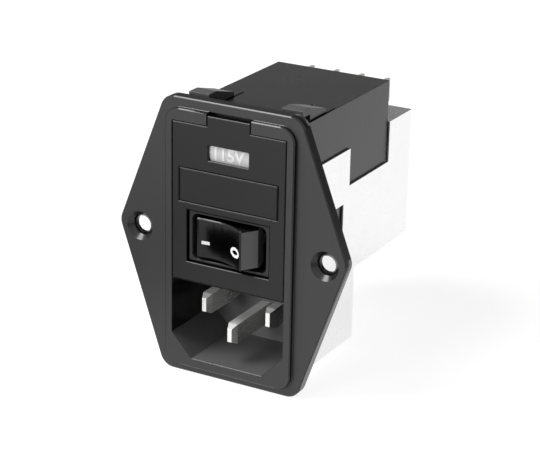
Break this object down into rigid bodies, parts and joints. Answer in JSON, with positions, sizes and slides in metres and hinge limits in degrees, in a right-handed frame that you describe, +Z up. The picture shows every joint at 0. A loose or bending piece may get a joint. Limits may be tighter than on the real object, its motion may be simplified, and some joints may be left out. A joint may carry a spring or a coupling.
{
  "type": "power entry module",
  "caption": "Panel-mount mains inlet module with rocker switch, pull-out fuse drawer, voltage selector window and a metal filter can behind a hexagonal flange.",
  "frame": {"origin": "midway between the two panel screw holes, on the back face of the flange, which lies on the panel", "axes": "+X to the right seen from the front, +Y into the equipment along the screws, +Z up with the inlet at the bottom"},
  "size_m": [0.0488, 0.062, 0.0552],
  "materials": {
    "housing_black": "fine moulded texture",
    "cover_black": "fine moulded texture",
    "carrier_black": "moulded",
    "drum_grey": "moulded",
    "switch_black": "moulded",
    "rocker_black": "polished mould",
    "can_steel": "bright tin plate",
    "nickel_plate": "nickel plated",
    "tinned_brass": "tin plated",
    "copper": "bare",
    "fuse_glass": "clear",
    "plunger_white": "moulded",
    "spring_steel": "drawn wire",
    "board_green": "laminate",
    "ferrite": "sintered",
    "winding_wire": "enamelled wire",
    "capacitor_yellow": "moulded box",
    "capacitor_blue": "dipped",
    "resistor_beige": "lacquered"
  },
  "bodies": {
    "housing": {"bleed_resistor": "resistor_beige", "choke_core": "ferrite", "choke_winding_line": "winding_wire", "choke_winding_neutral": "winding_wire", "contact_strip_line": "copper", "contact_strip_neutral": "copper", "earth_pin": "nickel_plate", "earth_tab": "tinned_brass", "filter_board": "board_green", "filter_case": "can_steel", "front_housing": "housing_black", "fuse_clip_line": "tinned_brass", "fuse_clip_neutral": "tinned_brass", "fuse_tab_line": "tinned_brass", "fuse_tab_neutral": "tinned_brass", "line_pin": "nickel_plate", "neutral_pin": "nickel_plate", "pivot_strip_line": "copper", "pivot_strip_neutral": "copper", "selector_housing": "housing_black", "selector_tab_line": "tinned_brass", "selector_tab_neutral": "tinned_brass", "switch_body": "switch_black", "terminal_plate": "housing_black", "x_capacitor": "capacitor_yellow", "y_capacitor_line": "capacitor_blue", "y_capacitor_neutral": "capacitor_blue"},
    "drawer": {"fuse_cover": "cover_black", "fuse_carrier": "carrier_black", "fuse_front_cap_line": "nickel_plate", "fuse_front_cap_neutral": "nickel_plate", "fuse_rear_cap_line": "nickel_plate", "fuse_rear_cap_neutral": "nickel_plate", "fuse_tube_line": "fuse_glass", "fuse_tube_neutral": "fuse_glass", "fuse_wire_line": "copper", "fuse_wire_neutral": "copper"},
    "drum": {"voltage_drum": "drum_grey"},
    "rocker": {"rocker": "rocker_black", "plunger_line": "plunger_white", "plunger_neutral": "plunger_white", "plunger_spring_line": "spring_steel", "plunger_spring_neutral": "spring_steel"},
    "lever_line": {"contact_lever_line": "copper"},
    "lever_neutral": {"contact_lever_neutral": "copper"}
  },
  "joints": [
    {"name": "drawer_slide", "type": "slide", "parent": "housing", "child": "drawer", "axis": [0, -1, 0], "range_m": [0, 0.034]},
    {"name": "drum_turn", "type": "hinge", "parent": "drawer", "child": "drum", "pos_m": [0, 0.0018, 0.0177], "axis": [1, 0, 0], "continuous": true},
    {"name": "rocker_tilt", "type": "hinge", "parent": "housing", "child": "rocker", "pos_m": [0, 0.00264, 0.00057], "axis": [0, 0, 1], "range_deg": [0, 22]},
    {"name": "lever_line_tilt", "type": "hinge", "parent": "housing", "child": "lever_line", "pos_m": [0, 0.01044, 0.00267], "axis": [0, 0, 1], "range_deg": [-16, 0]},
    {"name": "lever_neutral_tilt", "type": "hinge", "parent": "housing", "child": "lever_neutral", "pos_m": [0, 0.01044, -0.00153], "axis": [0, 0, 1], "range_deg": [-16, 0]}
  ],
  "couplings": [
    {"joint": "lever_line_tilt", "follows": "rocker_tilt", "ratio": -0.7272},
    {"joint": "lever_neutral_tilt", "follows": "rocker_tilt", "ratio": -0.7272}
  ]
}
